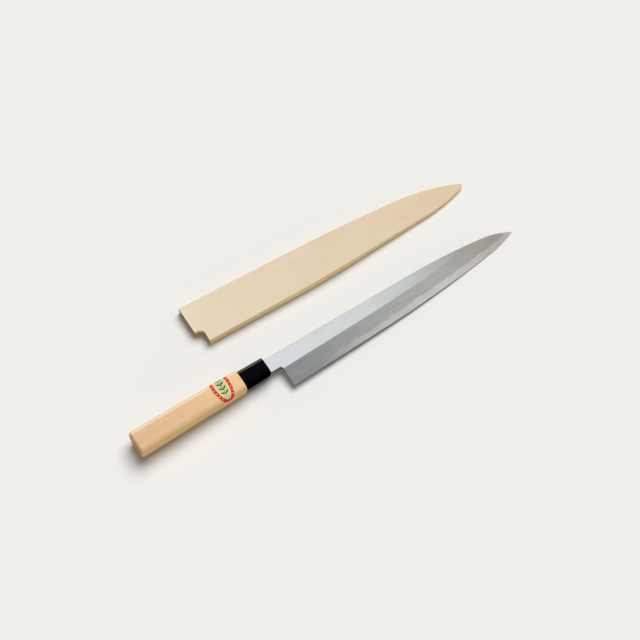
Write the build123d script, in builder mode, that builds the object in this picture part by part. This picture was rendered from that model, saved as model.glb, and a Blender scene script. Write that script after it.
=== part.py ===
from build123d import *
import os
from math import atan, cos, radians, sin

# A yanagiba, a single-bevel slicing knife with a 240 mm blade, beside its wooden cover.
# The knife lies on the flat side of its handle with the bevelled side of the blade up.
# The front rim of the wooden grip and the tip of the blade touch the surface below.
# +X runs along the handle towards the tip, +Y from the cutting edge to the spine, +Z up.
# The origin is the middle of the whole layout, on the surface that it lies on.

# Blade seen from the side
# Heights are measured from the axis of the handle, which is the knife's own X axis.
blade_length = 240.0        # heel to tip
neck_length = 11.5          # front of the ferrule to the heel
machi_gap = 1.1             # front of the ferrule to the shoulders of the tang
spine_rise = 6.2            # spine above the axis where it leaves the ferrule
spine_fall = 2.3            # how far the straight part of the spine runs down
spine_turn_drop = 1.9       # spine below the axis where its last bend starts
heel_drop = 26.2            # heel below the axis
edge_rise = 1.2             # how far the straight part of the edge runs up
edge_turn_drop = 16.9       # edge below the axis where its last bend starts
tip_drop = 10.4             # tip below the axis
neck_drop = 7.0             # underside of the neck below the axis
notch_round = 2.6           # inside round between the neck and the heel
spine_break = 0.3           # eased edges along the spine
spine_facing_share = 0.5    # a face of the spine looks this much towards +Y
spine_straight_share = 0.58
edge_straight_share = 0.36
last_bend_share = 0.89      # both last bends start at this share of the blade

# Blade across its thickness
spine_thickness = 3.5       # at the neck
tip_thickness = 2.3         # of the flat side, carried on to the tip
bevel_width = 16.6          # shinogi line to cutting edge
edge_land = 0.12            # thickness left at the cutting edge
hard_steel_thickness = 1.3  # layer of hard steel on the back
hollow_depth = 0.45         # how far the back is ground hollow
hollow_rim = 1.6            # flat rim left on both sides of the hollow
bevel_reach_share = 1.6     # the bevel's cutting form runs on past the shinogi line
hollow_station_shares = (0.03, 0.10, 0.35, 0.65, 0.85, 0.94)
hollow_depth_shares = (0.06, 0.85, 1.00, 0.90, 0.60, 0.06)

# Tang
tang_length = 84.0          # behind the front of the ferrule
tang_root_rise = 5.2
tang_root_drop = 4.0
tang_root_thickness = 3.2
tang_end_rise = 2.6
tang_end_drop = 2.2
tang_end_thickness = 2.2

# Handle, measured across its D-shaped section
handle_length = 127.0       # ferrule and wooden grip together
ferrule_length = 24.5
ferrule_front_width = 16.2
ferrule_front_thickness = 15.8
ferrule_back_width = 17.2
ferrule_back_thickness = 16.4
ferrule_ridge_round = 3.2
ferrule_rim_break = 0.35
grip_front_width = 20.0
grip_front_thickness = 18.8
butt_width = 22.8
butt_thickness = 20.6
grip_ridge_round = 4.6
grip_front_break = 0.6
butt_break = 1.6            # the butt's rim is eased in three narrow flats
butt_second_break = 0.45
tenon_width = 13.0
tenon_thickness = 11.6
tenon_recess = 0.2          # end of the tenon behind the front of the ferrule
tenon_clearance = 0.1       # round the tenon in the ferrule
tang_clearance = 0.12       # round the tang in its slot
slot_end_room = 1.5         # behind the end of the tang

# Shape of the D section, as shares of half its width and half its thickness
crown_share = 0.42          # flat top, on the spine side of the middle
shoulder_share = 0.20
base_edge_share = 0.42      # flat underside, from the middle towards the edge side
base_spine_share = 0.45     # and towards the spine side
flank_share = 0.15          # the edge side curves in from this far above the middle

# Paper label wrapped over the grip
label_length = 17.5         # along the handle
label_reach = 20.6          # across the handle, seen square to the middle of the label
label_thickness = 0.12
label_setback = 17.7        # front of the grip to the middle of the label
label_lean = 22.0           # degrees that the label leans over to the spine side

# Cover, seen from above as it sits on the blade
# Its mouth corner on the spine side is the start of its own X and Y.
cover_end_wood = 25.0       # solid wood beyond the tip of the blade
cover_width = 39.6          # at the mouth
mouth_lean = 1.5            # how far the mouth runs back between the spine and the notch
notch_depth = 7.6
notch_width = 12.8
notch_corner_round = 5.2
cover_spine_bend_drop = 0.5
cover_spine_turn_drop = 3.4
cover_spine_end_drop = 16.6
cover_edge_bend_rise = 1.5
cover_edge_turn_rise = 4.6
cover_edge_run = 78.0       # straight stretch between the two bends of the edge side
cover_end_width = 3.4
cover_end_round = 1.6
cover_spine_straight_share = 0.36
cover_spine_turn_share = 0.78
cover_edge_straight_share = 0.33
cover_edge_turn_share = 0.56

# Cover across its thickness
front_board_thickness = 7.1
back_board_thickness = 2.3
spine_side_thinning = 4.2   # how much lower its top is at the end, on the spine side
edge_side_thinning = 7.6    # and on the edge side
thinning_start_share = 0.42
thinning_bend_share = 0.60
thinning_bend_drop_share = 0.15
cover_top_round = 0.5
cover_base_round = 1.4
cover_wall_count = 9        # wall faces behind the mouth: three, four and two at the end

# Pocket in the front board, cut to the shape of the blade
pocket_clearance = 0.6      # round the blade, seen from the side
pocket_mouth_depth = 4.6    # at the mouth, on the spine side
pocket_bend_depth = 2.8     # where the bevel of the blade has reached its spine
pocket_tip_depth = 1.0      # at the tip of the blade
pocket_edge_depth = 1.0     # along the cutting edge
pocket_bend_share = 0.86
spine_wall = 2.2            # wood beyond the pocket on the spine side of the mouth
home_gap = 0.5              # mouth to ferrule when the cover is pushed home

# Layout of the two on the surface
cover_gap = 40.8            # spine of the knife to the near corner of the cover's mouth
cover_setback = 32.4        # front of the ferrule to the mouth of the cover
cover_turn = 3.7            # degrees that the cover is turned away from the handle's line

overrun = 5.0               # how far a cutting form runs past what it cuts

# Derived sizes
tip_x = neck_length + blade_length
last_bend_x = neck_length + last_bend_share * blade_length
spine_straight_x = neck_length + spine_straight_share * blade_length
spine_straight_y = spine_rise - spine_fall
edge_straight_x = neck_length + edge_straight_share * blade_length
edge_straight_y = edge_rise - heel_drop
back_depth = spine_thickness / 2
taper = (spine_thickness - tip_thickness) / tip_x
blade_inset = spine_wall + pocket_clearance + spine_rise
cover_length = tip_x - home_gap + cover_end_wood
cover_thickness =back_board_thickness + front_board_thickness
pocket_bend_x = pocket_bend_share * tip_x

# The knife's resting attitude: on the front rim of the grip and on the tip
rest_run = ferrule_length + tip_x
rest_fall = grip_front_thickness / 2 - back_depth
rest_tilt = atan(rest_fall / rest_run)
axis_height = (
    grip_front_thickness / 2 * cos(rest_tilt) - ferrule_length * sin(rest_tilt)
)

# The knife and the cover are centred on the origin together
cover_far_y = spine_rise + cover_gap + cover_width
layout_x = (handle_length - tip_x) / 2
layout_y = (heel_drop - cover_far_y) / 2
turn = radians(cover_turn)

knife_rest = Plane(
    origin=(layout_x, layout_y, axis_height),
    x_dir=(cos(rest_tilt), 0, -sin(rest_tilt)),
    z_dir=(sin(rest_tilt), 0, cos(rest_tilt)),
)
cover_rest = Plane(
    origin=(layout_x - cover_setback, layout_y + cover_far_y, 0),
    x_dir=(cos(turn), -sin(turn), 0),
    z_dir=(0, 0, 1),
)


def placed(rest, plane):
    """A plane that is given in the frame of the knife or of the cover."""
    return Plane(rest.location * plane.location)


def side_plane(height, slope=0):
    """Side view of the knife, this high over the axis and sloping down to the tip."""
    plane = Plane(origin=(0, 0, height), x_dir=(1, 0, -slope), z_dir=(slope, 0, 1))
    return placed(knife_rest, plane)


def cross_plane(rest, x, y=0, z=0):
    """Plane across the knife or cover at x: its x is the spine direction, its y is up."""
    return placed(rest, Plane(origin=(x, y, z), x_dir=(0, 1, 0), z_dir=(1, 0, 0)))


def spine_curve():
    """Spine from the neck to the tip: straight, then two bends."""
    straight = Line((machi_gap, spine_rise), (spine_straight_x, spine_straight_y))
    bend = TangentArc(straight @ 1, (last_bend_x, -spine_turn_drop), tangent=straight % 1)
    last = TangentArc(bend @ 1, (tip_x, -tip_drop), tangent=bend % 1)
    return Curve([straight, bend, last])


def edge_curve(shift=0):
    """Cutting edge from the heel to the tip, moved up by shift."""
    straight = Line((neck_length, shift - heel_drop), (edge_straight_x, shift + edge_straight_y))
    turn_point = (last_bend_x, shift - edge_turn_drop)
    bend = TangentArc(straight @ 1, turn_point, tangent=straight % 1)
    last = TangentArc(bend @ 1, (tip_x, shift - tip_drop), tangent=bend % 1)
    return Curve([straight, bend, last])


def blade_outline(plane):
    """Outline of the blade and its neck in the side view."""
    with BuildSketch(plane) as outline:
        with BuildLine():
            spine_curve()
            edge_curve()
            Polyline(
                (neck_length, -heel_drop),
                (neck_length, -neck_drop),
                (machi_gap, -neck_drop),
                (machi_gap, spine_rise),
            )
        make_face()
        notch = outline.vertices().sort_by_distance((neck_length, -neck_drop))[0]
        fillet(notch, notch_round)
    return outline.sketch


def beyond_edge(plane, shift):
    """The space below the cutting edge in the side view, with the edge moved up by shift."""
    low = -heel_drop - overrun
    with BuildSketch(plane) as region:
        with BuildLine():
            edge = edge_curve(shift)
            run_out = Line(
                (tip_x, shift - tip_drop),
                Vector(tip_x, shift - tip_drop) + overrun * (edge.edges()[-1] % 1),
            )
            Polyline(
                run_out @ 1,
                ((run_out @ 1).X, low),
                (neck_length - overrun, low),
                (neck_length - overrun, shift - heel_drop),
                (neck_length, shift - heel_drop),
            )
        make_face()
    return region.sketch


def d_section(plane, width, thickness, ridge_round):
    """D-shaped section: flat top with a ridge on the edge side, round shoulder, flat base."""
    half_width = width / 2
    half_thickness = thickness / 2
    crown = crown_share * half_width
    shoulder = shoulder_share * half_thickness
    base_edge = base_edge_share * half_width
    base_spine = base_spine_share * half_width
    flank = flank_share * half_thickness
    flank_drop = half_thickness + flank
    with BuildSketch(plane) as section:
        with BuildLine():
            Line((-half_width, half_thickness), (crown, half_thickness))
            EllipticalCenterArc(
                (crown, shoulder), half_width - crown, half_thickness - shoulder
            )
            EllipticalCenterArc(
                (base_spine, shoulder),
                half_width - base_spine,
                half_thickness + shoulder,
                start_angle=270,
            )
            Line((base_spine, -half_thickness), (-base_edge, -half_thickness))
            EllipticalCenterArc(
                (-base_edge, flank), half_width - base_edge, flank_drop, start_angle=180
            )
            Line((-half_width, flank), (-half_width, half_thickness))
        make_face()
        ridge = section.vertices().sort_by_distance((-half_width, half_thickness))[0]
        fillet(ridge, ridge_round)
    return section.sketch


def grip_form(skin):
    """The two end sections of the grip, grown by a skin of this thickness."""
    return [
        d_section(
            cross_plane(knife_rest, -ferrule_length),
            grip_front_width + 2 * skin,
            grip_front_thickness + 2 * skin,
            grip_ridge_round + skin,
        ),
        d_section(
            cross_plane(knife_rest, -handle_length),
            butt_width + 2 * skin,
            butt_thickness + 2 * skin,
            grip_ridge_round + skin,
        ),
    ]


def tang_form(clearance, end_x):
    """The two end sections of the tang, or of the slot that clears it."""
    sections = []
    for x, rise, drop, thickness in (
        (machi_gap, tang_root_rise, tang_root_drop, tang_root_thickness),
        (end_x, tang_end_rise, tang_end_drop, tang_end_thickness),
    ):
        with BuildSketch(cross_plane(knife_rest, x)) as section:
            with BuildLine():
                Polyline(
                    (-drop - clearance, -thickness / 2 - clearance),
                    (rise + clearance, -thickness / 2 - clearance),
                    (rise + clearance, thickness / 2 + clearance),
                    (-drop - clearance, thickness / 2 + clearance),
                    close=True,
                )
            make_face()
        sections.append(section.sketch)
    return sections


def hollow_section(station_share, depth_share):
    """Slice of the hollow, on the line from the edge to the spine at this share of the blade."""
    to_tip = (1 - station_share) * blade_length
    with BuildLine():
        spine = Wire(spine_curve().edges())
        edge = Wire(edge_curve().edges())
    high = spine.position_at(spine.length - to_tip, position_mode=PositionMode.LENGTH)
    low = edge.position_at(edge.length - to_tip, position_mode=PositionMode.LENGTH)
    chord = (high - low).length
    across = (high - low).normalized()
    plane = Plane(
        origin=(low.X, low.Y, -back_depth),
        x_dir=(across.X, across.Y, 0),
        z_dir=(across.Y, -across.X, 0),
    )
    with BuildSketch(placed(knife_rest, plane)) as section:
        with BuildLine():
            arc = ThreePointArc(
                (hollow_rim, 0),
                (chord / 2, depth_share * hollow_depth),
                (chord - hollow_rim, 0),
            )
            Polyline(arc @ 1, (arc @ 1) - (0, overrun), (arc @ 0) - (0, overrun), arc @ 0)
        make_face()
    return section.sketch


# Blade, before it is divided into its two steels
# The bevel is the ruled surface from the edge, on the back, to the shinogi line on the flat.
with BuildPart() as bevel_form:
    loft(
        sections=[
            beyond_edge(side_plane(edge_land - back_depth), 0),
            beyond_edge(
                side_plane(
                    edge_land + bevel_reach_share * (spine_thickness - edge_land) - back_depth,
                    bevel_reach_share * taper,
                ),
                bevel_reach_share * bevel_width,
            ),
        ],
        ruled=True,
    )

with BuildPart() as hollow_form:
    loft(
        sections=[
            hollow_section(station, depth)
            for station, depth in zip(hollow_station_shares, hollow_depth_shares)
        ]
    )

with BuildPart() as blade:
    extrude(blade_outline(side_plane(-back_depth)), amount=spine_thickness)
    split(bisect_by=side_plane(spine_thickness - back_depth, taper), keep=Keep.BOTTOM)
    upward = Axis(knife_rest.origin, knife_rest.z_dir)
    spine_faces = blade.faces().filter_by(lambda face: face.normal_at().Y > spine_facing_share)
    chamfer(spine_faces.edges().filter_by(upward, reverse=True), spine_break)
    add(bevel_form.part, mode=Mode.SUBTRACT)
    add(hollow_form.part, mode=Mode.SUBTRACT)

weld_plane = side_plane(hard_steel_thickness - back_depth)

# Hard steel: the layer on the hollow-ground back that ends in the cutting edge
with BuildPart() as hard_steel:
    add(blade.part)
    split(bisect_by=weld_plane, keep=Keep.BOTTOM)

# Soft iron: the rest of the blade, drawn out behind the neck into the tang
with BuildPart() as soft_iron:
    add(blade.part)
    split(bisect_by=weld_plane, keep=Keep.TOP)
    loft(sections=tang_form(0, -tang_length))


def tenon_section(plane, clearance):
    """Oval section of the tenon, or of the bore that clears it."""
    with BuildSketch(plane) as section:
        Ellipse(tenon_width / 2 + clearance, tenon_thickness / 2 + clearance)
    return section.sketch


# Ferrule: a tapered ring that the tenon of the grip fills
with BuildPart() as ferrule:
    loft(
        sections=[
            d_section(
                cross_plane(knife_rest, 0),
                ferrule_front_width,
                ferrule_front_thickness,
                ferrule_ridge_round,
            ),
            d_section(
                cross_plane(knife_rest, -ferrule_length),
                ferrule_back_width,
                ferrule_back_thickness,
                ferrule_ridge_round,
            ),
        ]
    )
    front_rim = ferrule.faces().sort_by(Axis(knife_rest.origin, knife_rest.x_dir))[-1].edges()
    chamfer(front_rim, ferrule_rim_break)
    extrude(
        tenon_section(cross_plane(knife_rest, 0), tenon_clearance),
        amount=-ferrule_length,
        mode=Mode.SUBTRACT,
    )

# Grip: the tapered wooden handle, its tenon and the slot for the tang
with BuildPart() as grip:
    loft(sections=grip_form(0))
    along = Axis(knife_rest.origin, knife_rest.x_dir)
    chamfer(grip.faces().sort_by(along)[-1].edges(), grip_front_break)
    chamfer(grip.faces().sort_by(along)[0].edges(), butt_break)
    butt_rims = grip.edges().group_by(along)
    chamfer(butt_rims[0] + butt_rims[2], butt_second_break)
    extrude(
        tenon_section(cross_plane(knife_rest, -ferrule_length), 0),
        amount=ferrule_length - tenon_recess,
    )
    loft(
        sections=tang_form(tang_clearance, -tang_length - slot_end_room),
        mode=Mode.SUBTRACT,
    )

# Label: a thin oval skin that lies on the top and the spine side of the grip
label_plane = Plane(
    origin=(-ferrule_length - label_setback, 0, 0),
    x_dir=(1, 0, 0),
    z_dir=(0, sin(radians(label_lean)), cos(radians(label_lean))),
)
with BuildPart() as label:
    loft(sections=grip_form(label_thickness))
    loft(sections=grip_form(0), mode=Mode.SUBTRACT)
    with BuildSketch(placed(knife_rest, label_plane)) as oval:
        Ellipse(label_length / 2, label_reach / 2)
    extrude(oval.sketch, amount=butt_thickness, mode=Mode.INTERSECT)


def cover_outline(plane):
    """Outline of the cover: long spine and edge sides, blunt end, notch at the mouth."""
    spine_bend_x = cover_spine_straight_share * cover_length
    spine_turn_x = cover_spine_turn_share * cover_length
    edge_bend_x = cover_edge_straight_share * cover_length
    edge_turn_x = cover_edge_turn_share * cover_length
    edge_end = (
        cover_length - cover_end_width / 2,
        -cover_spine_end_drop - cover_end_width,
    )
    notch_y = notch_width - cover_width
    notch_x = mouth_lean + notch_depth
    with BuildSketch(plane) as outline:
        with BuildLine():
            spine = Line((0, 0), (spine_bend_x, -cover_spine_bend_drop))
            spine_bend = TangentArc(
                spine @ 1, (spine_turn_x, -cover_spine_turn_drop), tangent=spine % 1
            )
            spine_end = TangentArc(
                spine_bend @ 1,
                (cover_length, -cover_spine_end_drop),
                tangent=spine_bend % 1,
            )
            edge = Line(
                (notch_x, -cover_width), (edge_bend_x, cover_edge_bend_rise - cover_width)
            )
            edge_bend = TangentArc(
                edge @ 1, (edge_turn_x, cover_edge_turn_rise - cover_width), tangent=edge % 1
            )
            edge_run = Line(edge_bend @ 1, (edge_bend @ 1) + cover_edge_run * (edge_bend % 1))
            edge_last = TangentArc(edge_run @ 1, edge_end, tangent=edge_run % 1)
            Line(edge_last @ 1, spine_end @ 1)
            Polyline((0, 0), (mouth_lean, notch_y), (notch_x, notch_y), edge @ 0)
        make_face()
        inner_corner = outline.vertices().sort_by_distance((notch_x, notch_y))[0]
        fillet(inner_corner, notch_corner_round)
        end_corner = outline.vertices().sort_by_distance(edge_end)[0]
        fillet(end_corner, cover_end_round)
    return outline.sketch


def pocket_section(x, deep):
    """Slice of the pocket across the cover: as deep as the blade, shallow at the edge."""
    with BuildSketch(
        cross_plane(cover_rest, home_gap + x, -blade_inset, back_board_thickness)
    ) as section:
        with BuildLine():
            Polyline(
                (spine_rise + overrun, 0),
                (spine_rise + overrun, deep),
                (bevel_width - heel_drop, deep),
                (-heel_drop - pocket_clearance, pocket_edge_depth),
                (-heel_drop - overrun, pocket_edge_depth),
                (-heel_drop - overrun, 0),
                close=True,
            )
        make_face()
    return section.sketch


# Pocket: the blade's own outline with room all round, open at the mouth
with BuildPart() as pocket:
    pocket_plane = placed(
        cover_rest, Plane(origin=(home_gap, -blade_inset, back_board_thickness))
    )
    with BuildSketch(pocket_plane) as pocket_outline:
        add(blade_outline(Plane.XY))
        offset(amount=pocket_clearance, kind=Kind.INTERSECTION)
        with BuildLine():
            Polyline(
                (-overrun, spine_rise + pocket_clearance),
                (neck_length + pocket_clearance, spine_rise + pocket_clearance),
                (neck_length + pocket_clearance, -heel_drop - pocket_clearance),
                (-overrun, -heel_drop - pocket_clearance),
                close=True,
            )
        make_face()
    extrude(pocket_outline.sketch, amount=front_board_thickness)
    loft(
        sections=[
            pocket_section(-overrun, pocket_mouth_depth),
            pocket_section(pocket_bend_x, pocket_bend_depth),
            pocket_section(tip_x + overrun, pocket_tip_depth),
        ],
        ruled=True,
        mode=Mode.INTERSECT,
    )

def thinning_profile(y, thinning):
    """Side view of what is taken off the top of the cover: level, bend and slope."""
    start_x = thinning_start_share * cover_length
    bend_x = thinning_bend_share * cover_length
    end_x = cover_length + overrun
    bend_drop = thinning_bend_drop_share * thinning
    plane = Plane(origin=(0, y, cover_thickness), x_dir=(1, 0, 0), z_dir=(0, -1, 0))
    with BuildSketch(placed(cover_rest, plane)) as section:
        with BuildLine():
            level = Line((0, 0), (start_x, 0))
            bend = TangentArc(level @ 1, (bend_x, -bend_drop), tangent=level % 1)
            Polyline(bend @ 1, (end_x, -thinning), (end_x, overrun), (0, overrun), (0, 0))
        make_face()
    return section.sketch


# Thinning of the cover towards its end, deeper on the edge side than on the spine side
with BuildPart() as thinning_form:
    loft(
        sections=[
            thinning_profile(overrun, spine_side_thinning),
            thinning_profile(-cover_width - overrun, edge_side_thinning),
        ],
        ruled=True,
    )

# Outside of the cover, with the edges of its long sides and its end rounded
with BuildPart() as cover_form:
    extrude(cover_outline(cover_rest), amount=cover_thickness)
    add(thinning_form.part, mode=Mode.SUBTRACT)
    upright = [face for face in cover_form.faces() if abs(face.normal_at().Z) < abs(sin(turn))]
    lengthwise = Axis(cover_rest.origin, cover_rest.x_dir)
    walls = ShapeList(upright).sort_by(lengthwise)[-cover_wall_count:]
    rims = walls.edges().filter_by(Axis.Z, reverse=True)
    low_rim = [edge for edge in rims if edge.center().Z < back_board_thickness]
    high_rim = [edge for edge in rims if edge.center().Z > back_board_thickness]
    fillet(high_rim, cover_top_round)
    fillet(low_rim, cover_base_round)

glue_plane = placed(cover_rest, Plane.XY.offset(back_board_thickness))

# Front board: the carved half of the cover, over the bevelled side of the blade
with BuildPart() as cover_front:
    add(cover_form.part)
    split(bisect_by=glue_plane, keep=Keep.TOP)
    add(pocket.part, mode=Mode.SUBTRACT)

# Back board: the flat half, glued to the front board
with BuildPart() as cover_back:
    add(cover_form.part)
    split(bisect_by=glue_plane, keep=Keep.BOTTOM)

os.makedirs("parts", exist_ok=True)

hard_steel.part.label = "hard_steel"
soft_iron.part.label = "soft_iron"
ferrule.part.label = "ferrule"
grip.part.label = "grip"
label.part.label = "paper_label"
cover_front.part.label = "cover_front_board"
cover_back.part.label = "cover_back_board"

export_step(hard_steel.part, "parts/hard_steel.step")
export_step(soft_iron.part, "parts/soft_iron.step")
export_step(ferrule.part, "parts/ferrule.step")
export_step(grip.part, "parts/grip.step")
export_step(label.part, "parts/paper_label.step")
export_step(cover_front.part, "parts/cover_front_board.step")
export_step(cover_back.part, "parts/cover_back_board.step")
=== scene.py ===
import math

import bmesh
import bpy
from mathutils import Matrix, Vector


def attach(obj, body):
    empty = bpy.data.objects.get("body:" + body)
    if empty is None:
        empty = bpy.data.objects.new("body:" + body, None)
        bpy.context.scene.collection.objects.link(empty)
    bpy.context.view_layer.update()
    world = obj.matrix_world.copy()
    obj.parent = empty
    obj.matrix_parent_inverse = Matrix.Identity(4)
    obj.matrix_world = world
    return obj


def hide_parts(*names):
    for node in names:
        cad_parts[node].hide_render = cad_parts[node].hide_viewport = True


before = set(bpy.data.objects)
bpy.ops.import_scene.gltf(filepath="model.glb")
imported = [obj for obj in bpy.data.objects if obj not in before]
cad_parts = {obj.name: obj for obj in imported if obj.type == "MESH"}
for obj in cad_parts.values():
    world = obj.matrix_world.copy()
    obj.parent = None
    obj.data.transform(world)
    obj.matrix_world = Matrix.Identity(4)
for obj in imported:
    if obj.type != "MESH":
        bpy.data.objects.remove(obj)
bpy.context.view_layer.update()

# Where the knife and its cover lie, in metres, and which way their near sides look
KNIFE_ORIGIN = Vector((-0.06225, -0.0302, 0.0087192))
KNIFE_FALL, KNIFE_RUN = 0.00765, 0.276
KNIFE_TILT = math.atan(KNIFE_FALL / KNIFE_RUN)
KNIFE_NEAR = (0.0, -1.0, 0.0)
COVER_ORIGIN = Vector((-0.09465, 0.0564, 0.0))
COVER_TURN = math.radians(3.7)
COVER_NEAR = (-0.0645, -0.9979, 0.0)
TO_TIP, TO_BUTT = (1, 0, 0), (-1, 0, 0)


# Node helpers

MIX_A, MIX_B, MIX_RESULT = 6, 7, 2          # colour sockets of a mix node
NOISE_MIDDLE = 0.5


class Nodes:
    """Short names for building a tree of nodes."""

    def __init__(self, tree):
        self.tree = tree
        self.tree.nodes.clear()

    def add(self, kind, **settings):
        node = self.tree.nodes.new(kind)
        for key, value in settings.items():
            setattr(node, key, value)
        return node

    def link(self, output, socket):
        self.tree.links.new(output, socket)

    def put(self, value, socket):
        if isinstance(value, bpy.types.NodeSocket):
            self.link(value, socket)
        else:
            socket.default_value = value

    def maths(self, operation, a, b=0.0, c=0.0):
        node = self.add("ShaderNodeMath", operation=operation)
        for value, socket in zip((a, b, c), node.inputs):
            self.put(value, socket)
        return node.outputs[0]

    def dot(self, vector, direction):
        node = self.add("ShaderNodeVectorMath", operation="DOT_PRODUCT")
        self.link(vector, node.inputs[0])
        node.inputs[1].default_value = direction
        return node.outputs["Value"]

    def ramp(self, value, low, high, to_low=0.0, to_high=1.0, **settings):
        """From to_low at low to to_high at high, and level beyond them."""
        node = self.add("ShaderNodeMapRange", **settings)
        self.put(value, node.inputs["Value"])
        node.inputs["From Min"].default_value = low
        node.inputs["From Max"].default_value = high
        node.inputs["To Min"].default_value = to_low
        node.inputs["To Max"].default_value = to_high
        return node.outputs["Result"]

    def step(self, value, low, high):
        """From 0 at low to 1 at high, with soft ends."""
        return self.ramp(value, low, high, interpolation_type="SMOOTHSTEP")


class Tree(Nodes):
    """The nodes of one material."""

    def __init__(self, name):
        self.material = bpy.data.materials.new(name)
        self.material.use_nodes = True
        super().__init__(self.material.node_tree)
        out = self.add("ShaderNodeOutputMaterial")
        self.shader = self.add("ShaderNodeBsdfPrincipled")
        self.link(self.shader.outputs["BSDF"], out.inputs["Surface"])

    def set(self, **values):
        for key, value in values.items():
            self.put(value, self.shader.inputs[key.replace("_", " ")])

    def bump(self, height, distance, strength):
        node = self.add("ShaderNodeBump")
        node.inputs["Distance"].default_value = distance
        node.inputs["Strength"].default_value = strength
        self.put(height, node.inputs["Height"])
        self.link(node.outputs["Normal"], self.shader.inputs["Normal"])

    def position(self, origin, tilt=0.0, turn=0.0):
        """Place on a piece: x runs along it, y to its spine side, z up."""
        coords = self.add("ShaderNodeTexCoord")
        shift = self.add("ShaderNodeVectorMath", operation="SUBTRACT")
        self.link(coords.outputs["Object"], shift.inputs[0])
        shift.inputs[1].default_value = origin
        spin = self.add("ShaderNodeVectorRotate", rotation_type="EULER_XYZ")
        spin.inputs["Rotation"].default_value = (0, -tilt, turn)
        self.link(shift.outputs[0], spin.inputs["Vector"])
        return spin.outputs[0]

    def axes(self, vector):
        node = self.add("ShaderNodeSeparateXYZ")
        self.link(vector, node.inputs[0])
        return node.outputs

    def stretched(self, vector, stretch, shift=(0, 0, 0)):
        node = self.add("ShaderNodeVectorMath", operation="MULTIPLY_ADD")
        self.link(vector, node.inputs[0])
        node.inputs[1].default_value = stretch
        node.inputs[2].default_value = shift
        return node.outputs[0]

    def moved_across(self, vector, amount):
        across = self.add("ShaderNodeCombineXYZ")
        self.put(amount, across.inputs["Y"])
        node = self.add("ShaderNodeVectorMath", operation="ADD")
        self.link(vector, node.inputs[0])
        self.link(across.outputs[0], node.inputs[1])
        return node.outputs[0]

    def noise(self, vector, detail, roughness):
        node = self.add("ShaderNodeTexNoise")
        self.link(vector, node.inputs["Vector"])
        node.inputs["Scale"].default_value = 1.0
        node.inputs["Detail"].default_value = detail
        node.inputs["Roughness"].default_value = roughness
        return node.outputs["Fac"]

    def pattern(self, place, stretch, detail, roughness, shift=(0, 0, 0)):
        """Noise stretched by its own amounts along the piece, across it and up."""
        return self.noise(self.stretched(place, stretch, shift), detail, roughness)

    def swing(self, base, noise, weight):
        """The base, raised and lowered by a noise around its middle."""
        off_middle = self.maths("SUBTRACT", noise, NOISE_MIDDLE)
        return self.maths("MULTIPLY_ADD", off_middle, weight, base)

    def blend(self, a, b, share):
        """This share of a, and the rest of b."""
        return self.maths("MULTIPLY_ADD", a, share, self.maths("MULTIPLY", b, 1.0 - share))

    def facing(self, direction, low, high):
        """How much the surface looks in this direction of the model."""
        geometry = self.add("ShaderNodeNewGeometry")
        return self.step(self.dot(geometry.outputs["Normal"], direction), low, high)

    def colours(self, value, stops):
        node = self.add("ShaderNodeValToRGB")
        self.put(value, node.inputs["Fac"])
        ramp = node.color_ramp
        while len(ramp.elements) < len(stops):
            ramp.elements.new(0.5)          # moved to its own place below
        for element, (place, colour) in zip(ramp.elements, stops):
            element.position = place
            element.color = (*colour, 1.0)
        return node.outputs["Color"]

    def mix(self, amount, a, b, kind="MIX"):
        node = self.add("ShaderNodeMix", data_type="RGBA", blend_type=kind)
        self.put(amount, node.inputs["Factor"])
        for value, socket in ((a, node.inputs[MIX_A]), (b, node.inputs[MIX_B])):
            self.put((*value, 1.0) if isinstance(value, tuple) else value, socket)
        return node.outputs[MIX_RESULT]

    def tinted(self, colour, tint):
        return self.mix(1.0, colour, tint, "MULTIPLY")


def srgb(red, green, blue):
    """A colour as the eye reads it, from 0 to 255, turned into the shader's values."""
    def one(value):
        value = value / 255.0
        return value / 12.92 if value <= 0.04045 else ((value + 0.055) / 1.055) ** 2.4
    return (one(red), one(green), one(blue))


def knife_space(tree):
    return tree.position(KNIFE_ORIGIN, tilt=KNIFE_TILT)


def cover_space(tree):
    return tree.position(COVER_ORIGIN, turn=COVER_TURN)


# Woods. A pattern has its stretch per metre along the piece, across it and up, then its detail,
# its roughness and a shift that sets it apart from the others

WOOD_CLOUDS = ((22, 60, 60), 3.0, 0.55)
WOOD_PATCHES = ((60, 150, 150), 2.0, 0.5, (3, 1, 2))
WOOD_BEND = ((9, 30, 30), 2.0, 0.5, (1, 5, 2))
WOOD_FIBRES = ((60, 2000, 2000), 4.0, 0.6)
WOOD_PORES = ((260, 5200, 5200), 2.0, 0.7, (7, 3, 1))
FLANK_STREAKS = ((38, 260, 320), 3.0, 0.6, (2, 0, 4))
END_RAYS = ((900, 2200, 700), 3.0, 0.7)
END_RINGS = ((60, 240, 900), 3.0, 0.5, (5, 2, 0))
GRAIN_STRETCH, GRAIN_DETAIL, GRAIN_ROUGHNESS = (6, 420, 420), 3.0, 0.6
GRAIN_WANDER = 4.0                          # how far the grain bends across the piece

# Weights of the patterns, and the places of the tones in their ramps
CLOUD_WEIGHT, CLOUD_BASE = 0.7, 0.15
FIBRE_WEIGHT = 0.22
RING_SHARE = 0.6
WOOD_STOPS = (0.22, 0.5, 0.80)
FLANK_STOPS = (0.30, 0.5, 0.70)
END_STOPS = (0.36, 0.64)
ROSY_RANGE, ROSY_TINT = (0.35, 0.65), (1.012, 0.985, 0.965)
PORE_DARKNESS = (0.60, 0.74, 0.0, 0.22)
FAR_WALL_SHADE_TINT = (0.50, 0.48, 0.50)

# How squarely a face looks in a direction: where a side's look begins, and where it is full.
# The near flank gets a painted golden shade, the spine side a painted highlight, the far wall
# deeper painted shade
FLANK_FACING = (0.35, 0.95)
RIM_FACING, RIM_HIGHLIGHT_STRENGTH = (0.08, 0.60), 0.85
FAR_WALL_FACING = (0.72, 0.97)
END_FACING, END_STRENGTH = (0.62, 0.92), 0.92

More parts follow.
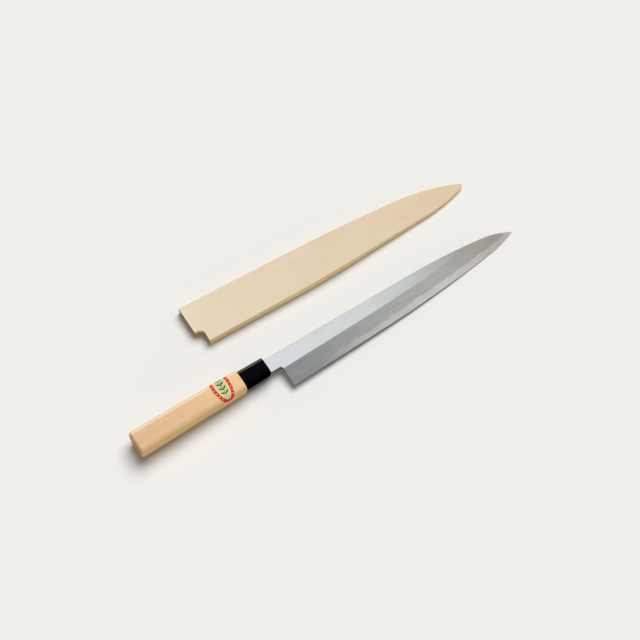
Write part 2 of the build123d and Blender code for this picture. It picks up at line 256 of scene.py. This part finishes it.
WOOD_LEVEL = 0.22
WOOD_ROUGHNESS = (0.3, 0.7, 0.50, 0.64)
PORE_DEPTH, WOOD_RELIEF, WOOD_RELIEF_STRENGTH = -0.5, 0.00004, 0.45


def wood(name, space, tones, flank_shade_tones, ends, rim_highlight, drift, grain, near):
    """Smooth straight-grained wood with darker end grain, painted golden shade on its flanks and a
    painted highlight on its spine side.
    """
    tree = Tree(name)
    place = space(tree)
    clouds = tree.pattern(place, *WOOD_CLOUDS)
    patches = tree.pattern(place, *WOOD_PATCHES)
    wander = tree.maths("MULTIPLY", tree.pattern(place, *WOOD_BEND), GRAIN_WANDER)
    streaks = tree.noise(tree.moved_across(tree.stretched(place, GRAIN_STRETCH), wander),
                         GRAIN_DETAIL, GRAIN_ROUGHNESS)
    fibres = tree.pattern(place, *WOOD_FIBRES)
    pores = tree.pattern(place, *WOOD_PORES)
    # Soft mottling, faint grain and fine fibres
    tone = tree.maths("MULTIPLY_ADD", clouds, CLOUD_WEIGHT, CLOUD_BASE)
    tone = tree.swing(tree.swing(tone, streaks, grain), fibres, FIBRE_WEIGHT)
    colour = tree.colours(tone, tuple(zip(WOOD_STOPS, tones)))
    # Rosy and straw-coloured patches
    colour = tree.mix(tree.step(patches, *ROSY_RANGE), colour, tree.tinted(colour, ROSY_TINT))
    # The tone drifts along the piece
    start, finish, tint = drift
    x = tree.axes(place)["X"]
    colour = tree.mix(tree.ramp(x, start, finish), colour, tree.tinted(colour, tint))
    colour = tree.mix(tree.ramp(pores, *PORE_DARKNESS), colour, tones[-1], "MULTIPLY")
    # Painted golden shade on the side towards the cutting edge, with orange and olive streaks
    golden_shade = tree.colours(tree.pattern(place, *FLANK_STREAKS), tuple(zip(FLANK_STOPS, flank_shade_tones)))
    colour = tree.mix(tree.facing(near, *FLANK_FACING), colour, golden_shade)
    # Painted highlight: a paler band along the side towards the spine
    far = tuple(-value for value in near)
    rim_highlight_amount = tree.maths("MULTIPLY", tree.facing(far, *RIM_FACING), RIM_HIGHLIGHT_STRENGTH)
    colour = tree.mix(rim_highlight_amount, colour, rim_highlight)
    # Painted shade: the far wall takes the near side's golden shade, darkened further
    far_wall_shade = tree.facing(far, *FAR_WALL_FACING)
    colour = tree.mix(far_wall_shade, colour, tree.tinted(golden_shade, FAR_WALL_SHADE_TINT))
    # End grain
    rings = tree.blend(tree.pattern(place, *END_RINGS), tree.pattern(place, *END_RAYS), RING_SHARE)
    end_colour = tree.colours(rings, tuple(zip(END_STOPS, ends)))
    end = tree.maths("MAXIMUM", *(tree.facing(way, *END_FACING) for way in (TO_BUTT, TO_TIP)))
    colour = tree.mix(tree.maths("MULTIPLY", end, END_STRENGTH), colour, end_colour)
    tree.set(Base_Color=colour, Specular_IOR_Level=WOOD_LEVEL,
             Roughness=tree.ramp(fibres, *WOOD_ROUGHNESS))
    height = tree.maths("MULTIPLY_ADD", pores, PORE_DEPTH, fibres)
    tree.bump(height, WOOD_RELIEF, WOOD_RELIEF_STRENGTH)
    return tree.material


# Steel. Its tones run along the blade, from the neck to the tip, with painted reflection in them

BLADE_SPAN = (0.0, 0.25)                    # metres along the knife
FLAT_TONES_AND_REFLECTION = (
    (0.08, (0.680, 0.700, 0.712)), (0.40, (0.665, 0.695, 0.690)), (0.56, (0.605, 0.640, 0.625)),
    (0.72, (0.505, 0.525, 0.510)), (0.84, (0.390, 0.396, 0.370)),
)
BEVEL_TONES_AND_REFLECTION = (
    (0.05, (0.430, 0.440, 0.445)), (0.18, (0.445, 0.458, 0.455)), (0.42, (0.535, 0.545, 0.515)),
    (0.70, (0.545, 0.545, 0.510)), (0.95, (0.435, 0.405, 0.345)),
)
BAND_TONES_AND_REFLECTION = (
    (0.16, (0.540, 0.550, 0.545)), (0.36, (0.680, 0.688, 0.650)), (0.58, (0.735, 0.740, 0.700)),
    (0.76, (0.700, 0.690, 0.645)), (0.94, (0.570, 0.545, 0.480)),
)
STEEL_LINES = ((18, 3600, 3600), 4.0, 0.65)
STEEL_STROKES = ((10, 700, 700), 3.0, 0.6, (4, 1, 0))
STEEL_HAZE = ((70, 260, 260), 4.0, 0.6, (0, 6, 3))
BAND_RAGGED = ((150, 500, 500), 4.0, 0.65, (9, 0, 1))

# Band along the edge, in metres: how far its border wanders, the levels on the bevel at which
# it begins and is full, where it starts past the heel, and where it narrows towards the tip
BAND_WANDER = 0.0009
BAND_LEVELS = (-0.00018, -0.00036)
BAND_START = (0.030, 0.070)
BAND_NARROWING = (0.15, 0.24, 0.0, 0.00024)

BEVEL_FACING = (0.04, 0.13)
HAZE_SHARE, HAZE_RANGE, HAZE_TINT = 0.6, (0.32, 0.68), (0.80, 0.82, 0.84)
HAZE_ON_BEVEL, HAZE_ON_FLAT = 0.48, 0.12
LINE_DARKNESS, LINE_TINT = (0.35, 0.65, 0.0, 0.16), (0.78, 0.78, 0.78)
HEEL_FACING, NOTCH_FACING = (0.30, 0.75), (0.50, 0.80)
HEEL_SHADE_TONE, HEEL_SHADE_STRENGTH = srgb(58, 58, 58), 0.85
GRIT_SHARE, STEEL_ROUGHNESS, BEVEL_ROUGHNESS = 0.5, (0.3, 0.7, 0.22, 0.30), 0.07
STROKE_DEPTH, STEEL_RELIEF, STEEL_RELIEF_STRENGTH = 0.5, 0.000010, 0.45


def steel(name, is_core):
    """Satin steel: pale on the flat, grey and hazy on the bevel; the core has a brighter band.
    How the tones change along the blade is painted reflection.
    """
    tree = Tree(name)
    place = knife_space(tree)
    axes = tree.axes(place)
    x, z = axes["X"], axes["Z"]
    lines = tree.pattern(place, *STEEL_LINES)
    strokes = tree.pattern(place, *STEEL_STROKES)
    haze = tree.pattern(place, *STEEL_HAZE)
    # Painted reflection: the tones brighten and darken along the blade
    along = tree.ramp(x, *BLADE_SPAN)
    flat = tree.colours(along, FLAT_TONES_AND_REFLECTION)
    bevel = tree.colours(along, BEVEL_TONES_AND_REFLECTION)
    on_bevel = tree.facing(KNIFE_NEAR, *BEVEL_FACING)
    if is_core:
        # Ragged border between the iron and the brighter band along the edge
        ragged = tree.pattern(place, *BAND_RAGGED)
        level = tree.maths("ADD", z, tree.ramp(x, *BAND_NARROWING))
        border = tree.maths("MULTIPLY_ADD", ragged, BAND_WANDER, level)
        band = tree.maths("MULTIPLY", tree.step(border, *BAND_LEVELS), tree.step(x, *BAND_START))
        bevel = tree.mix(band, bevel, tree.colours(along, BAND_TONES_AND_REFLECTION))
    colour = tree.mix(on_bevel, flat, bevel)
    # The hazy finish deepens and fades in soft clouds and along the strokes
    dull = tree.step(tree.blend(haze, strokes, HAZE_SHARE), *HAZE_RANGE)
    amount = tree.maths("MULTIPLY_ADD", on_bevel, HAZE_ON_BEVEL, HAZE_ON_FLAT)
    colour = tree.mix(tree.maths("MULTIPLY", dull, amount), colour, tree.tinted(colour, HAZE_TINT))
    colour = tree.mix(tree.ramp(lines, *LINE_DARKNESS), colour, tree.tinted(colour, LINE_TINT))
    # Painted shade: the walls that look towards the handle or straight to the near side are
    # darkened
    heel_shade = tree.maths("MAXIMUM", tree.facing(TO_BUTT, *HEEL_FACING),
                      tree.facing(KNIFE_NEAR, *NOTCH_FACING))
    colour = tree.mix(tree.maths("MULTIPLY", heel_shade, HEEL_SHADE_STRENGTH), colour, HEEL_SHADE_TONE)
    rough = tree.ramp(tree.blend(haze, lines, GRIT_SHARE), *STEEL_ROUGHNESS)
    rough = tree.maths("MULTIPLY_ADD", on_bevel, BEVEL_ROUGHNESS, rough)
    tree.set(Base_Color=colour, Metallic=1.0, Roughness=rough)
    height = tree.maths("MULTIPLY_ADD", strokes, STROKE_DEPTH, lines)
    tree.bump(height, STEEL_RELIEF, STEEL_RELIEF_STRENGTH)
    return tree.material


# Ferrule

HORN_STREAKS = ((60, 700, 700), 3.0, 0.5)
HORN_SCUFFS = ((300, 3600, 3600), 4.0, 0.7)
HORN_TONES = ((0.35, srgb(2, 2, 2)), (0.75, srgb(8, 8, 8)))
SHOULDER_WAY, SHOULDER_FACING = (0.0, 0.50, 0.866), (0.93, 0.985)
SHOULDER_HIGHLIGHT_TONE, SHOULDER_HIGHLIGHT_STRENGTH = srgb(84, 82, 78), 0.85
NEAR_WALL_FACING, HORN_LEVEL = (0.25, 0.70), (0.0, 1.0, 0.02, 0.0)
HORN_ROUGHNESS = (0.35, 0.75, 0.12, 0.26)
HORN_RELIEF, HORN_RELIEF_STRENGTH = 0.00001, 0.2


def horn(name):
    """Polished black ring with faint streaks, hairline scuffs and a painted highlight on one
    shoulder.
    """
    tree = Tree(name)
    place = knife_space(tree)
    scuffs = tree.pattern(place, *HORN_SCUFFS)
    colour = tree.colours(tree.pattern(place, *HORN_STREAKS), HORN_TONES)
    # Painted highlight: the shoulder towards the spine is painted paler
    shoulder_highlight = tree.maths("MULTIPLY", tree.facing(SHOULDER_WAY, *SHOULDER_FACING), SHOULDER_HIGHLIGHT_STRENGTH)
    # The near wall shines the least
    near_wall = tree.facing(KNIFE_NEAR, *NEAR_WALL_FACING)
    tree.set(Base_Color=tree.mix(shoulder_highlight, colour, SHOULDER_HIGHLIGHT_TONE),
             Specular_IOR_Level=tree.ramp(near_wall, *HORN_LEVEL),
             Roughness=tree.ramp(scuffs, *HORN_ROUGHNESS))
    tree.bump(scuffs, HORN_RELIEF, HORN_RELIEF_STRENGTH)
    return tree.material


# Label, in millimetres: its middle along the handle, and its middle and half reach across,
# measured over the grip from where the flat top begins

LABEL_X = -42.2
LABEL_HALF_LENGTH = 8.75
LABEL_MIDDLE = 9.5
LABEL_HALF_REACH = 18.8
LABEL_SKIN = 0.12
LABEL_RINGS, LABEL_SPOKES = 30, 96

# Its print: the ovals' distances from its edge along the handle and across, and their soft edges
BORDER_OUTER, BORDER_INNER, FIELD_EDGE = (0.25, 0.3), (3.1, 4.2), (3.5, 4.8)
BORDER_SOFTNESS, FIELD_SOFTNESS = (1.0, 0.985), (1.0, 0.98)
BEADS, BEAD_EDGE = 28, (1.62, 2.15)
BEAD_NARROWING, BEAD_SHORTENING = 10.0, 9.0
BEAD_SOFTNESS, BEAD_RING = (0.54, 0.38), (0.16, 0.15)
PLAIN_ENDS = (LABEL_HALF_REACH - 5.5, LABEL_HALF_REACH - 6.5)
PAPER_STOPS = (0.3, 0.7)
GROUND_TONES = (srgb(232, 222, 190), srgb(240, 232, 206))
FIELD_TONES = (srgb(196, 204, 138), srgb(212, 216, 156))
RED_TONES = (srgb(208, 36, 12), srgb(226, 54, 20))
SPRIG_TONE, SPRIG_SOFTNESS = srgb(52, 58, 34), (-0.08, 0.08)

# The sprig's leaves: place, turn, half length and half width, the stem being the longest
UPRIGHT = math.radians(90)
STEM = ((0.0, -1.0), UPRIGHT, 10.5, 0.32)
TOP_LEAF = ((0.0, 9.6), UPRIGHT, 2.4, 0.85)
LEAF_PAIRS, FIRST_PAIR, PAIR_STEP = 4, -9.0, 4.2
LEAF_ASIDE, LEAF_RISE, LEAF_SPREAD = 1.75, 1.3, math.radians(52)
LEAF_LENGTH, LEAF_WIDTH = 2.1, 0.72

PAPER_FIBRES = ((2.2, 2.2, 2.2), 4.0, 0.7)
PAPER_WEAR, WEAR_AMOUNT = ((0.9, 0.9, 0.9), 4.0, 0.7, (3, 3, 3)), (0.62, 0.80, 0.0, 0.35)
PAPER_LEVEL, PAPER_ROUGHNESS = 0.3, (0.3, 0.7, 0.42, 0.58)
PAPER_RELIEF, PAPER_RELIEF_STRENGTH = 0.00002, 0.3


def leaf_shape(tree, u, v, place, turn, length, width):
    """Above zero inside one pointed leaf, in millimetres."""
    cos, sin = math.cos(turn), math.sin(turn)
    du = tree.maths("SUBTRACT", u, place[0])
    dv = tree.maths("SUBTRACT", v, place[1])
    along = tree.maths("MULTIPLY_ADD", du, cos, tree.maths("MULTIPLY", dv, sin))
    across = tree.maths("MULTIPLY_ADD", dv, cos, tree.maths("MULTIPLY", du, -sin))
    share = tree.maths("DIVIDE", along, length)
    reach = tree.maths("MULTIPLY_ADD", tree.maths("MULTIPLY", share, share), -width, width)
    return tree.maths("SUBTRACT", reach, tree.maths("ABSOLUTE", across))


def sprig_shape(tree, u, v):
    """Above zero inside the stem, its pairs of leaves and the leaf at its end."""
    leaves = [STEM]
    for pair in range(LEAF_PAIRS):
        height = FIRST_PAIR + PAIR_STEP * pair
        for side in (-1, 1):
            leaves.append(((side * LEAF_ASIDE, height + LEAF_RISE),
                           UPRIGHT - side * LEAF_SPREAD, LEAF_LENGTH, LEAF_WIDTH))
    leaves.append(TOP_LEAF)
    shape = leaf_shape(tree, u, v, *leaves[0])
    for leaf in leaves[1:]:
        shape = tree.maths("MAXIMUM", shape, leaf_shape(tree, u, v, *leaf))
    return shape


def paper(name):
    """Printed oval: a beaded vermilion border round a pale green field with a leafy sprig."""
    tree = Tree(name)
    place = tree.add("ShaderNodeAttribute", attribute_name="label_place").outputs["Vector"]
    axes = tree.axes(place)
    u, v = axes["X"], axes["Y"]

    def oval(inset):
        """Place as shares of the oval this far inside the label's edge; the third is 1 on it."""
        a = tree.maths("DIVIDE", u, LABEL_HALF_LENGTH - inset[0])
        b = tree.maths("DIVIDE", v, LABEL_HALF_REACH - inset[1])
        far = tree.maths("SQRT", tree.maths("MULTIPLY_ADD", a, a, tree.maths("MULTIPLY", b, b)))
        return a, b, far

    fibres = tree.pattern(place, *PAPER_FIBRES)
    ground, field, red = (
        tree.colours(fibres, tuple(zip(PAPER_STOPS, tones)))
        for tones in (GROUND_TONES, FIELD_TONES, RED_TONES))
    colour = tree.mix(tree.ramp(oval(BORDER_OUTER)[2], *BORDER_SOFTNESS), ground, red)
    colour = tree.mix(tree.ramp(oval(BORDER_INNER)[2], *FIELD_SOFTNESS), colour, ground)
    colour = tree.mix(tree.ramp(oval(FIELD_EDGE)[2], *FIELD_SOFTNESS), colour, field)
    # Beads along the middle of the border, which is plain red round both ends
    a, b, ring = oval(BEAD_EDGE)
    off_ring = tree.maths("SUBTRACT", ring, 1.0)
    turns = tree.maths("MULTIPLY", tree.maths("ARCTAN2", b, a), BEADS / (2 * math.pi))
    local = tree.maths("SUBTRACT", tree.maths("FRACT", turns), 0.5)
    radial = tree.maths("MULTIPLY", off_ring, BEAD_NARROWING)
    lengthwise = tree.maths("MULTIPLY", tree.maths("MULTIPLY", local, local), BEAD_SHORTENING)
    bead = tree.maths("SQRT", tree.maths("MULTIPLY_ADD", radial, radial, lengthwise))
    on_ring = tree.ramp(tree.maths("ABSOLUTE", off_ring), *BEAD_RING)
    beads = tree.maths("MULTIPLY", tree.ramp(bead, *BEAD_SOFTNESS), on_ring)
    flanks = tree.ramp(tree.maths("ABSOLUTE", v), *PLAIN_ENDS)
    colour = tree.mix(tree.maths("MULTIPLY", beads, flanks), colour, ground)
    colour = tree.mix(tree.ramp(sprig_shape(tree, u, v), *SPRIG_SOFTNESS), colour, SPRIG_TONE)
    # Worn to the bare paper in places
    worn = tree.ramp(tree.pattern(place, *PAPER_WEAR), *WEAR_AMOUNT)
    colour = tree.mix(worn, colour, ground)
    tree.set(Base_Color=colour, Specular_IOR_Level=PAPER_LEVEL,
             Roughness=tree.ramp(fibres, *PAPER_ROUGHNESS))
    tree.bump(fibres, PAPER_RELIEF, PAPER_RELIEF_STRENGTH)
    return tree.material


# The handle's wooden part, in millimetres: its front and butt, its width and height at each,
# the round of its ridge, and the ovals' middles as shares of its half width and half height

GRIP_FRONT, GRIP_END = -24.5, -127.0
FRONT_SIZE, END_SIZE = (20.0, 18.8), (22.8, 20.6)
RIDGE_ROUND = 4.6
CROWN_SHARE, SHOULDER_SHARE, SPINE_SHARE = 0.42, 0.20, 0.45
SHOULDER_STEPS = 400


def grip_surface(x, reach):
    """Point and outward direction on the grip, at this place along it and this reach across it."""
    share = (GRIP_FRONT - x) / (GRIP_FRONT - GRIP_END)
    half_width, half_height = (
        (front + (end - front) * share) / 2 for front, end in zip(FRONT_SIZE, END_SIZE))
    crown, shoulder = CROWN_SHARE * half_width, SHOULDER_SHARE * half_height
    base_spine = SPINE_SHARE * half_width
    flat = crown + half_width - RIDGE_ROUND
    if reach < 0:
        # Round ridge, then the near side below it
        angle = -reach / RIDGE_ROUND
        if angle < math.pi / 2:
            normal = (-math.sin(angle), math.cos(angle))
            return (-half_width + RIDGE_ROUND + RIDGE_ROUND * normal[0],
                    half_height - RIDGE_ROUND + RIDGE_ROUND * normal[1]), normal
        drop = RIDGE_ROUND * (angle - math.pi / 2)
        return (-half_width, half_height - RIDGE_ROUND - drop), (-1.0, 0.0)
    if reach <= flat:
        return (-half_width + RIDGE_ROUND + reach, half_height), (0.0, 1.0)
    # Round shoulder, then the spine side below it
    travel = reach - flat
    last = None
    for part in range(2 * SHOULDER_STEPS + 1):
        angle = math.pi / 2 * (1 - part / SHOULDER_STEPS)
        if angle >= 0:
            middle, wide, tall = crown, half_width - crown, half_height - shoulder
        else:
            middle, wide, tall = base_spine, half_width - base_spine, half_height + shoulder
        spot = (middle + wide * math.cos(angle), shoulder + tall * math.sin(angle))
        if last is not None:
            travel -= math.dist(spot, last)
        if travel <= 0:
            break
        last = spot
    normal = Vector((math.cos(angle) / wide, math.sin(angle) / tall)).normalized()
    return spot, (normal.x, normal.y)


def knife_point(x, y, z):
    """From the knife's own millimetres to the model's metres."""
    return KNIFE_ORIGIN + Matrix.Rotation(KNIFE_TILT, 3, "Y") @ (Vector((x, y, z)) / 1000)


def make_label():
    """Thin paper oval that follows the grip from its near side over the top to its spine side."""
    shape = bmesh.new()
    layer = shape.verts.layers.float_vector.new("label_place")

    def corner(radius, angle, skin):
        u = LABEL_HALF_LENGTH * radius * math.cos(angle)
        v = LABEL_HALF_REACH * radius * math.sin(angle)
        spot, normal = grip_surface(LABEL_X + u, LABEL_MIDDLE + v)
        vert = shape.verts.new(knife_point(
            LABEL_X + u, spot[0] + normal[0] * skin, spot[1] + normal[1] * skin))
        vert[layer] = (u, v, skin)
        return vert

    def ring_of(ring, skin):
        return [corner(ring / LABEL_RINGS, 2 * math.pi * spoke / LABEL_SPOKES, skin)
                for spoke in range(LABEL_SPOKES)]

    # The top sheet and the one that lies on the wood, each from its middle outwards
    sheets = []
    for skin in (LABEL_SKIN, 0.0):
        middle = [corner(0.0, 0.0, skin)]
        sheets.append([middle] + [ring_of(ring, skin) for ring in range(1, LABEL_RINGS + 1)])
    pairs = [(spoke, (spoke + 1) % LABEL_SPOKES) for spoke in range(LABEL_SPOKES)]
    for is_under, sheet in enumerate(sheets):
        for inner, outer in zip(sheet, sheet[1:]):
            for spoke, after in pairs:
                if len(inner) == 1:
                    corners = [inner[0], outer[spoke], outer[after]]
                else:
                    corners = [inner[spoke], outer[spoke], outer[after], inner[after]]
                shape.faces.new(corners[::-1] if is_under else corners)
    # The cut edge between them
    top, under = sheets[0][-1], sheets[1][-1]
    for spoke, after in pairs:
        shape.faces.new([top[spoke], under[spoke], under[after], top[after]])
    bmesh.ops.recalc_face_normals(shape, faces=shape.faces)
    for face in shape.faces:
        face.smooth = True
    mesh = bpy.data.meshes.new("handle_label")
    shape.to_mesh(mesh)
    shape.free()
    piece = bpy.data.objects.new("handle_label", mesh)
    bpy.context.scene.collection.objects.link(piece)
    mesh.materials.append(paper("label_paper"))
    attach(piece, "knife")
    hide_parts("paper_label")


# Each wood has its pale, middle and deep tones, the painted golden shade of its flanks with their
# streaks, its end grain, the painted highlight along its spine side, and where along it the tone
# drifts and to what tint
grip_wood = wood(
    "grip_wood", knife_space,
    tones=(srgb(232, 198, 158), srgb(225, 189, 148), srgb(216, 178, 134)),
    flank_shade_tones=(srgb(232, 186, 126), srgb(238, 196, 138), srgb(226, 182, 114)),
    ends=(srgb(206, 160, 100), srgb(172, 122, 70)),
    rim_highlight=srgb(240, 216, 182),
    drift=(-0.08, -0.025, (1.09, 1.09, 0.99)),
    grain=0.28,
    near=KNIFE_NEAR)
cover_wood = wood(
    "cover_wood", cover_space,
    tones=(srgb(234, 221, 197), srgb(230, 216, 191), srgb(224, 208, 181)),
    flank_shade_tones=(srgb(250, 208, 150), srgb(250, 220, 164), srgb(242, 222, 154)),
    ends=(srgb(214, 178, 116), srgb(164, 122, 68)),
    rim_highlight=srgb(240, 228, 204),
    drift=(0.0, 0.26, (0.92, 0.85, 0.785)),
    grain=0.16,
    near=COVER_NEAR)
materials = {
    "hard_steel": steel("core_steel", True),
    "soft_iron": steel("cladding_steel", False),
    "ferrule": horn("black_horn"),
    "grip": grip_wood,
    "cover_front_board": cover_wood,
    "cover_back_board": cover_wood,
}
for node, material in materials.items():
    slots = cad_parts[node].data.materials
    slots.clear()
    slots.append(material)
make_label()


# Floor

FLOOR_SIZE = 6.0
FLOOR_TONE, FLOOR_ROUGHNESS = srgb(238, 237, 233), 0.95


def make_floor():
    mesh = bpy.data.meshes.new("floor")
    shape = bmesh.new()
    bmesh.ops.create_grid(shape, x_segments=1, y_segments=1, size=FLOOR_SIZE)
    shape.to_mesh(mesh)
    shape.free()
    floor = bpy.data.objects.new("floor", mesh)
    bpy.context.scene.collection.objects.link(floor)
    tree = Tree("floor")
    tree.set(Base_Color=(*FLOOR_TONE, 1.0), Roughness=FLOOR_ROUGHNESS, Specular_IOR_Level=0.0)
    mesh.materials.append(tree.material)


make_floor()


# Camera at the photograph's viewing angle

CAMERA_PLACE = (-0.2890, -0.44775, 1.1685)
CAMERA_AIM = Vector((0.0018, -0.01655, 0.0))
FOCAL_PIXELS, FRAME_PIXELS = 1494.0, 640.0
SENSOR_WIDTH = 36.0                         # millimetres
CLIP_START, CLIP_END = 0.05, 50.0


def make_camera():
    data = bpy.data.cameras.new("camera")
    data.sensor_width = SENSOR_WIDTH
    data.lens = FOCAL_PIXELS / FRAME_PIXELS * SENSOR_WIDTH
    data.clip_start = CLIP_START
    data.clip_end = CLIP_END
    camera = bpy.data.objects.new("camera", data)
    bpy.context.scene.collection.objects.link(camera)
    camera.location = CAMERA_PLACE
    aim = CAMERA_AIM - camera.location
    camera.rotation_euler = aim.to_track_quat("-Z", "Y").to_euler()
    bpy.context.scene.camera = camera


make_camera()


# Light: a studio sky with two wide soft boxes over and behind the knife, and a horizon that is
# brighter on the near side. A direction in the sky is given by how far it leans to the right and
# away, as shares of its height

RIGHT = (0.8290, -0.5592, 0.0)
AWAY = (0.5592, 0.8290, 0.0)
UP = (0.0, 0.0, 1.0)
LOWEST = 0.02                               # least height that a share is taken of
SKY_FILL = 0.10
SKY_GAP = 0.68                              # level between the boxes
LEFT_BOX, RIGHT_BOX = 0.50, 0.45            # what each box adds to it
SKY_HORIZON, SKY_NEAR = 0.34, 0.34

# Soft edges, from dark to lit
AREA_LEFT, AREA_RIGHT = (-0.50, -0.15), (1.00, 0.60)
AREA_NEAR, AREA_FAR = (-0.08, 0.12), (1.00, 0.70)
LEFT_BOX_EDGE, RIGHT_BOX_EDGE = (0.25, -0.05), (0.15, 0.60)
HORIZON_EDGE, NEAR_EDGE = (0.48, 0.20), (1.0, -1.0)

KEY_STRENGTH = 2.50
KEY_ANGLE = math.radians(42)
KEY_RIGHT, KEY_AWAY = 0.24, 0.54


def make_sky():
    world = bpy.data.worlds.new("studio")
    bpy.context.scene.world = world
    world.use_nodes = True
    sky = Nodes(world.node_tree)
    direction = sky.add("ShaderNodeTexCoord").outputs["Generated"]
    height = sky.dot(direction, UP)
    divisor = sky.maths("MAXIMUM", height, LOWEST)
    right = sky.maths("DIVIDE", sky.dot(direction, RIGHT), divisor)
    away = sky.maths("DIVIDE", sky.dot(direction, AWAY), divisor)
    area = sky.maths("MULTIPLY", sky.step(right, *AREA_LEFT), sky.step(right, *AREA_RIGHT))
    area = sky.maths("MULTIPLY", area, sky.step(away, *AREA_NEAR))
    area = sky.maths("MULTIPLY", area, sky.step(away, *AREA_FAR))
    boxes = sky.maths("MULTIPLY_ADD", sky.step(right, *LEFT_BOX_EDGE), LEFT_BOX, SKY_GAP)
    boxes = sky.maths("MULTIPLY_ADD", sky.step(right, *RIGHT_BOX_EDGE), RIGHT_BOX, boxes)
    near = sky.maths("MULTIPLY_ADD", sky.step(away, *NEAR_EDGE), SKY_NEAR, SKY_HORIZON)
    light = sky.maths("MULTIPLY_ADD", area, boxes, SKY_FILL)
    light = sky.maths("MULTIPLY_ADD", sky.step(height, *HORIZON_EDGE), near, light)
    glow = sky.add("ShaderNodeBackground")
    glow.inputs["Color"].default_value = (1.0, 1.0, 1.0, 1.0)
    sky.link(light, glow.inputs["Strength"])
    out = sky.add("ShaderNodeOutputWorld")
    sky.link(glow.outputs[0], out.inputs["Surface"])


def make_key():
    """One wide soft key, high and a little behind; the steel mirrors the sky, not this lamp."""
    data = bpy.data.lights.new("key", "SUN")
    data.energy = KEY_STRENGTH
    data.angle = KEY_ANGLE
    lamp = bpy.data.objects.new("key", data)
    bpy.context.scene.collection.objects.link(lamp)
    towards = Vector(RIGHT) * KEY_RIGHT + Vector(AWAY) * KEY_AWAY + Vector(UP)
    lamp.location = towards
    lamp.rotation_euler = towards.to_track_quat("Z", "Y").to_euler()
    lamp.visible_glossy = False


make_sky()
make_key()

bpy.context.scene.view_settings.view_transform = "Standard"
